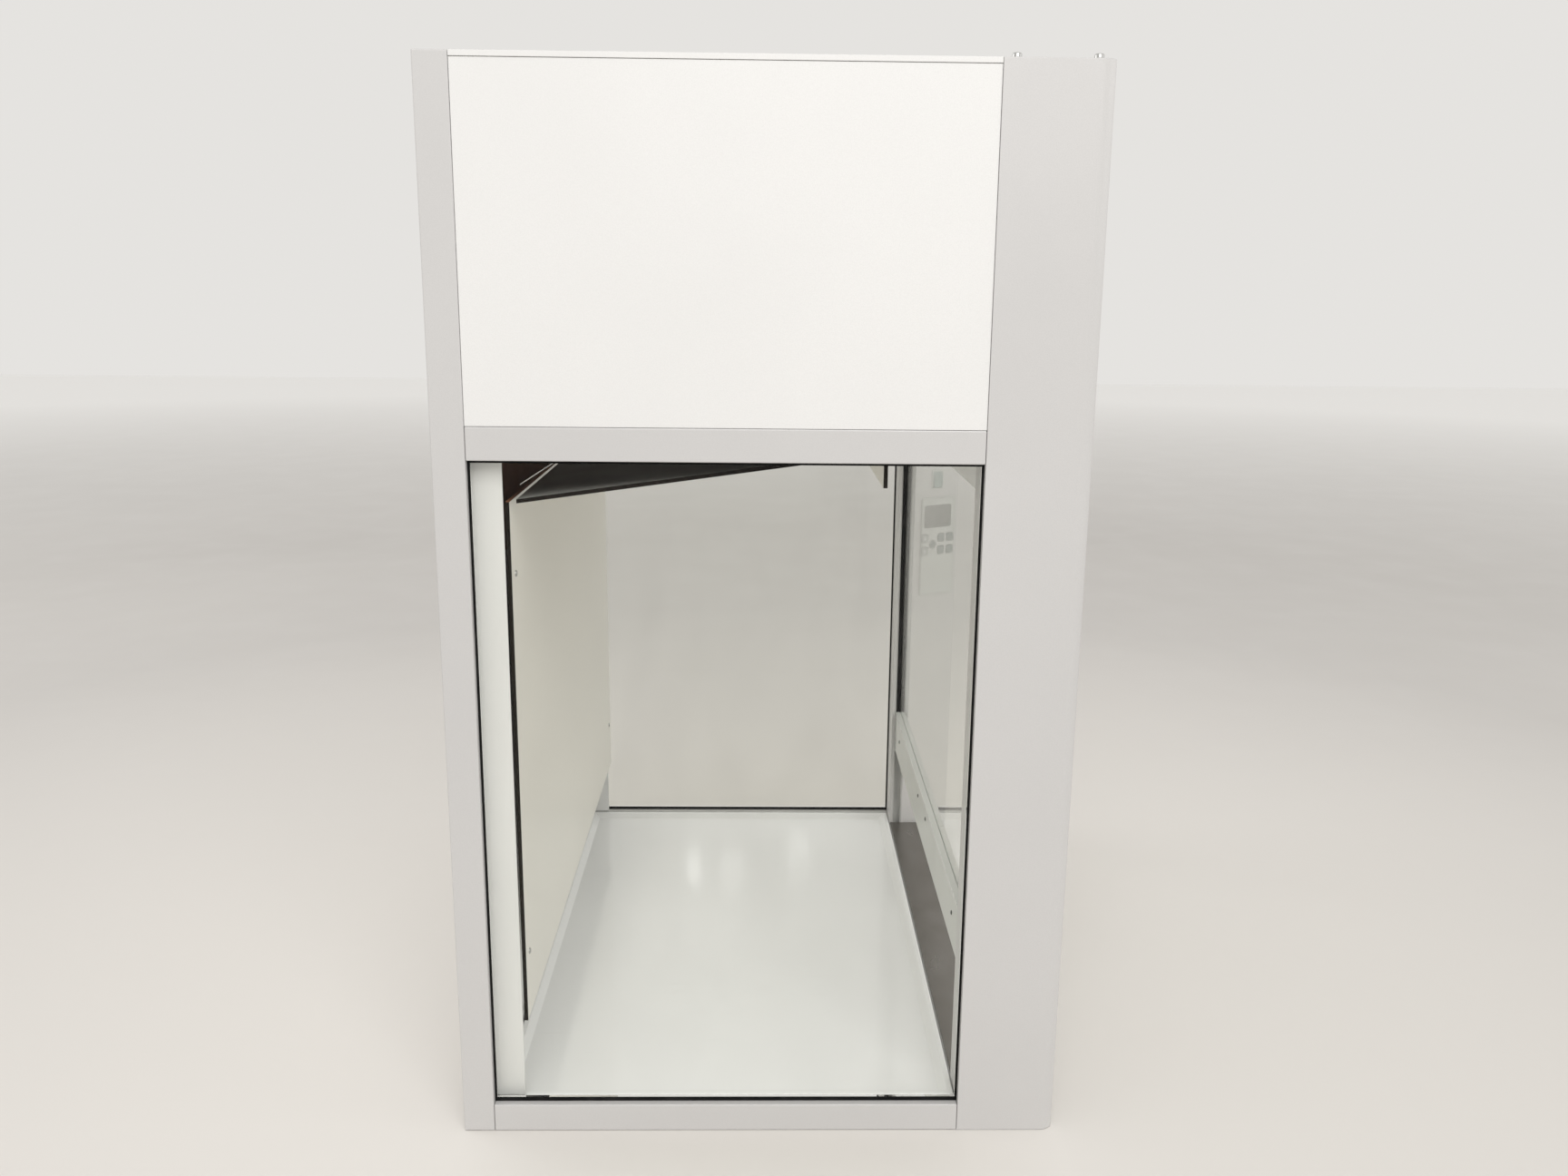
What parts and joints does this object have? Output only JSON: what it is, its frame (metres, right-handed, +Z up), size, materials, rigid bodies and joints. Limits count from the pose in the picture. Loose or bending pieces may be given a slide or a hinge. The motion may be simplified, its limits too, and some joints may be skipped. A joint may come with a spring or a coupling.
{
  "type": "fume hood",
  "caption": "Bench-top fume hood: glazed sides, counterbalanced glass sash, dished work tray, baffles, front sill, roof exhaust collar and control panel on a flared column",
  "frame": {"origin": "centre of the bounding box in plan, on the plane the hood rests on", "axes": "+Z up; -Y is the front, where the operator stands; +X is the operator's right"},
  "size_m": [1.016, 0.773, 1.375],
  "materials": {
    "silver_paint": "silver-grey powder coat over extruded aluminium, fine satin texture",
    "white_paint": "white powder coat on folded sheet steel, fine orange peel",
    "tray_white": "glossy moulded white tray",
    "stainless": "brushed stainless steel, wipe marks",
    "window_glass": "clear toughened glass, faint green",
    "black_rubber": "black rubber gasket",
    "liner_board": "off-white compact laminate with a black-brown core at the edges",
    "sash_paint": "light grey powder coat over extruded aluminium",
    "track_grey": "dark grey plastic channel",
    "steel": "bright and galvanised steel",
    "cast_weight": "black painted cast iron",
    "lens_white": "frosted white lamp lens",
    "panel_plastic": "light grey plastic",
    "display_grey": "grey-green display window, unlit",
    "key_plastic": "pale grey keys with plain symbols",
    "switch_green": "grey-green translucent rocker"
  },
  "bodies": {
    "cabinet": {"base_panel": "white_paint", "bottom_rail_left": "silver_paint", "bottom_rail_right": "silver_paint", "ceiling_board": "liner_board", "control_display": "display_grey", "control_panel": "panel_plastic", "exhaust_collar": "steel", "front_axle": "steel", "front_base_rail": "silver_paint", "front_column_left": "silver_paint", "front_column_right": "silver_paint", "front_header": "silver_paint", "front_sill": "stainless", "inner_header": "white_paint", "lamp_housing": "white_paint", "lamp_lens": "lens_white", "mid_rail_left": "silver_paint", "mid_rail_right": "silver_paint", "rear_axle": "steel", "rear_baffle": "liner_board", "rear_bottom_rail": "silver_paint", "rear_liner_left": "white_paint", "rear_liner_right": "white_paint", "rear_panel": "white_paint", "rear_post_left": "silver_paint", "rear_post_right": "silver_paint", "rear_top_rail": "silver_paint", "roof_panel": "white_paint", "sash_cable_left": "steel", "sash_cable_right": "steel", "sash_track_left": "track_grey", "sash_track_right": "track_grey", "side_window_left": "window_glass", "side_window_right": "window_glass", "switch_bezel": "panel_plastic", "upper_baffle": "liner_board", "upper_side_panel_left": "white_paint", "upper_side_panel_right": "white_paint", "window_gasket_left": "black_rubber", "window_gasket_right": "black_rubber", "work_tray": "tray_white"},
    "sash": {"sash_glass": "window_glass", "sash_bottom_rail": "sash_paint", "sash_top_rail": "sash_paint", "sash_seal_left": "black_rubber", "sash_seal_right": "black_rubber"},
    "counterweight_bar": {"counterweight": "cast_weight"},
    "front_pulley_left_wheel": {"front_pulley_left": "panel_plastic"},
    "front_pulley_right_wheel": {"front_pulley_right": "panel_plastic"},
    "rear_pulley_left_wheel": {"rear_pulley_left": "panel_plastic"},
    "rear_pulley_right_wheel": {"rear_pulley_right": "panel_plastic"},
    "key_up_button": {"key_up": "key_plastic"},
    "key_down_button": {"key_down": "key_plastic"},
    "key_enter_button": {"key_enter": "key_plastic"},
    "key_light_button": {"key_light": "key_plastic"},
    "key_fan_button": {"key_fan": "key_plastic"},
    "key_mute_button": {"key_mute": "key_plastic"},
    "key_menu_button": {"key_menu": "key_plastic"},
    "light_switch": {"switch_rocker": "switch_green"}
  },
  "joints": [
    {"name": "sash_slide", "type": "slide", "parent": "cabinet", "child": "sash", "axis": [0, 0, 1], "range_m": [-0.114, 0.3]},
    {"name": "counterweight_slide", "type": "slide", "parent": "cabinet", "child": "counterweight_bar", "axis": [0, 0, 1], "range_m": [-0.3, 0.114]},
    {"name": "front_pulley_left_turn", "type": "hinge", "parent": "cabinet", "child": "front_pulley_left_wheel", "pos_m": [-0.4, -0.2685, 1.294], "axis": [1, 0, 0], "range_deg": [-960, 366]},
    {"name": "front_pulley_right_turn", "type": "hinge", "parent": "cabinet", "child": "front_pulley_right_wheel", "pos_m": [0.4, -0.2685, 1.294], "axis": [1, 0, 0], "range_deg": [-960, 366]},
    {"name": "rear_pulley_left_turn", "type": "hinge", "parent": "cabinet", "child": "rear_pulley_left_wheel", "pos_m": [-0.4, 0.311, 1.294], "axis": [1, 0, 0], "range_deg": [-960, 366]},
    {"name": "rear_pulley_right_turn", "type": "hinge", "parent": "cabinet", "child": "rear_pulley_right_wheel", "pos_m": [0.4, 0.311, 1.294], "axis": [1, 0, 0], "range_deg": [-960, 366]},
    {"name": "key_up_press", "type": "slide", "parent": "cabinet", "child": "key_up_button", "axis": [0.866, 0.5, 0], "range_m": [0, 0.0011], "stiffness_N_per_m": 600},
    {"name": "key_down_press", "type": "slide", "parent": "cabinet", "child": "key_down_button", "axis": [0.866, 0.5, 0], "range_m": [0, 0.0011], "stiffness_N_per_m": 600},
    {"name": "key_enter_press", "type": "slide", "parent": "cabinet", "child": "key_enter_button", "axis": [0.866, 0.5, 0], "range_m": [0, 0.0011], "stiffness_N_per_m": 600},
    {"name": "key_light_press", "type": "slide", "parent": "cabinet", "child": "key_light_button", "axis": [0.866, 0.5, 0], "range_m": [0, 0.0011], "stiffness_N_per_m": 600},
    {"name": "key_fan_press", "type": "slide", "parent": "cabinet", "child": "key_fan_button", "axis": [0.866, 0.5, 0], "range_m": [0, 0.0011], "stiffness_N_per_m": 600},
    {"name": "key_mute_press", "type": "slide", "parent": "cabinet", "child": "key_mute_button", "axis": [0.866, 0.5, 0], "range_m": [0, 0.0011], "stiffness_N_per_m": 600},
    {"name": "key_menu_press", "type": "slide", "parent": "cabinet", "child": "key_menu_button", "axis": [0.866, 0.5, 0], "range_m": [0, 0.0011], "stiffness_N_per_m": 600},
    {"name": "light_switch_rock", "type": "hinge", "parent": "cabinet", "child": "light_switch", "pos_m": [0.47233, -0.34047, 0.7258], "axis": [0.5, -0.866, 0], "range_deg": [0, 12]}
  ],
  "couplings": [
    {"joint": "counterweight_slide", "follows": "sash_slide", "ratio": -1},
    {"joint": "front_pulley_left_turn", "follows": "sash_slide", "rad_per_m": -55.556},
    {"joint": "front_pulley_right_turn", "follows": "sash_slide", "rad_per_m": -55.556},
    {"joint": "rear_pulley_left_turn", "follows": "sash_slide", "rad_per_m": -55.556},
    {"joint": "rear_pulley_right_turn", "follows": "sash_slide", "rad_per_m": -55.556}
  ]
}
